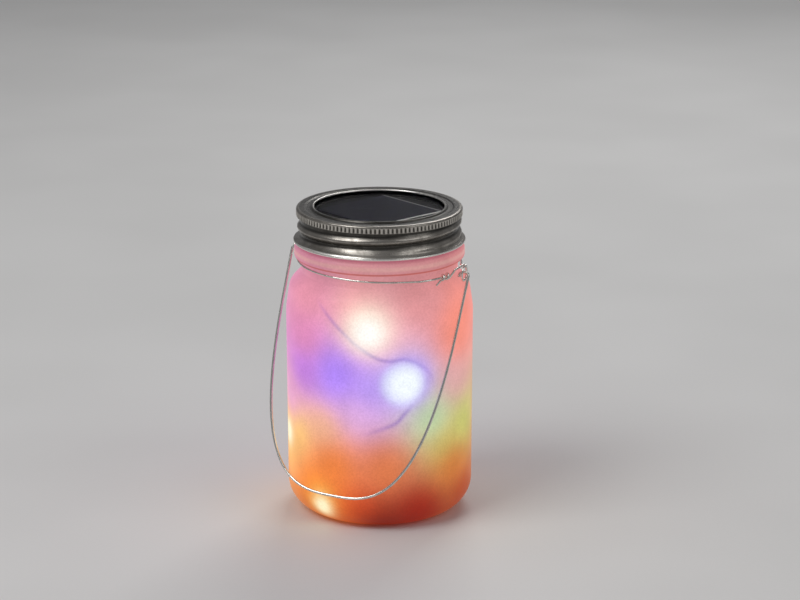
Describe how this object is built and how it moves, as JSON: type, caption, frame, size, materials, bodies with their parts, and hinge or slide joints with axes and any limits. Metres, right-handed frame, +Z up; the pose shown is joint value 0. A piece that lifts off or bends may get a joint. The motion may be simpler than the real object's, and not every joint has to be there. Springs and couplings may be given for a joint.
{
  "type": "mason jar lantern",
  "caption": "Frosted screw-top glass jar lantern with a solar lid, a string of coloured lights inside and a wire bail handle hooked to a wire round its neck.",
  "frame": {"origin": "centre of the jar's flat base, on the surface it stands on", "axes": "+Z up along the jar's axis; X along the handle's axis, which is 2 degrees lower at +X; the handle hangs in front, at -Y"},
  "size_m": [0.087, 0.0841, 0.1373],
  "materials": {
    "battery_steel": "plated steel can",
    "door_plastic": "white moulded ABS",
    "door_screw_steel": "zinc-plated steel",
    "lead_black": "black insulation",
    "lead_red": "red insulation",
    "battery_wrap": "plain green shrink sleeve",
    "grommet_rubber": "soft pale silicone",
    "capacitor_black": "black sleeve",
    "cell_backing": "black laminate",
    "board_green": "green solder mask",
    "contact_brass": "nickel-washed brass",
    "chip_black": "black epoxy",
    "frosted_glass": "frosted soda-lime glass, sandblasted outside",
    "handle_steel": "bright galvanised steel wire",
    "screw_steel": "zinc-plated steel",
    "inductor_green": "green lacquer",
    "black_plastic": "black moulded ABS",
    "light_resin_01": "clear resin drop, lit",
    "light_resin_02": "clear resin drop, lit",
    "light_resin_03": "clear resin drop, lit",
    "light_resin_04": "clear resin drop, lit",
    "light_resin_05": "clear resin drop, lit",
    "light_resin_06": "clear resin drop, lit",
    "light_resin_07": "clear resin drop, lit",
    "light_resin_08": "clear resin drop, lit",
    "light_resin_09": "clear resin drop, lit",
    "light_resin_10": "clear resin drop, lit",
    "light_resin_11": "clear resin drop, lit",
    "light_resin_12": "clear resin drop, lit",
    "string_wire": "two fine lacquered copper wires, silvered",
    "white_plastic": "white moulded ABS",
    "neck_wire_steel": "bright galvanised steel wire",
    "clear_window": "glossy clear resin over a dark cell",
    "band_steel": "brushed tinned steel sheet, pewter grey",
    "gasket_rubber": "soft pale silicone",
    "solar_silicon": "blue-black silicon under thin grid lines",
    "switch_steel": "plated steel",
    "knob_black": "black plastic"
  },
  "bodies": {
    "jar": {"glass_jar": "frosted_glass", "neck_wire": "neck_wire_steel"},
    "handle": {"handle_wire": "handle_steel"},
    "solar_unit": {"battery_cell": "battery_steel", "battery_door": "door_plastic", "battery_door_screw": "door_screw_steel", "battery_lead_black": "lead_black", "battery_lead_red": "lead_red", "battery_sleeve": "battery_wrap", "cable_grommet": "grommet_rubber", "capacitor": "capacitor_black", "cell_backing": "cell_backing", "cell_lead_black": "lead_black", "cell_lead_red": "lead_red", "circuit_board": "board_green", "contact_plate": "contact_brass", "contact_spring": "contact_brass", "driver_chip": "chip_black", "housing_screw_1": "screw_steel", "housing_screw_2": "screw_steel", "housing_screw_3": "screw_steel", "inductor": "inductor_green", "lid_tray": "black_plastic", "light_01": "light_resin_01", "light_02": "light_resin_02", "light_03": "light_resin_03", "light_04": "light_resin_04", "light_05": "light_resin_05", "light_06": "light_resin_06", "light_07": "light_resin_07", "light_08": "light_resin_08", "light_09": "light_resin_09", "light_10": "light_resin_10", "light_11": "light_resin_11", "light_12": "light_resin_12", "light_string": "string_wire", "lower_housing": "white_plastic", "panel_window": "clear_window", "sealing_gasket": "gasket_rubber", "solar_cell": "solar_silicon", "spring_plate": "contact_brass", "string_lead": "lead_black", "switch_body": "switch_steel"},
    "band": {"screw_band": "band_steel"},
    "knob": {"switch_knob": "knob_black"}
  },
  "joints": [
    {"name": "handle_swing", "type": "hinge", "parent": "jar", "child": "handle", "pos_m": [0, 0, 0.1128], "axis": [-0.9994, 0, 0.0349], "range_deg": [0, 312]},
    {"name": "lid_rise", "type": "slide", "parent": "jar", "child": "solar_unit", "axis": [0, 0, 1], "range_m": [0, 0.0064]},
    {"name": "band_turn", "type": "hinge", "parent": "solar_unit", "child": "band", "pos_m": [0, 0, 0.13], "axis": [0, 0, 1], "range_deg": [0, 450]},
    {"name": "switch_slide", "type": "slide", "parent": "solar_unit", "child": "knob", "axis": [1, 0, 0], "range_m": [0, 0.002]}
  ],
  "couplings": [
    {"joint": "lid_rise", "follows": "band_turn", "m_per_rad": 0.00080851}
  ]
}
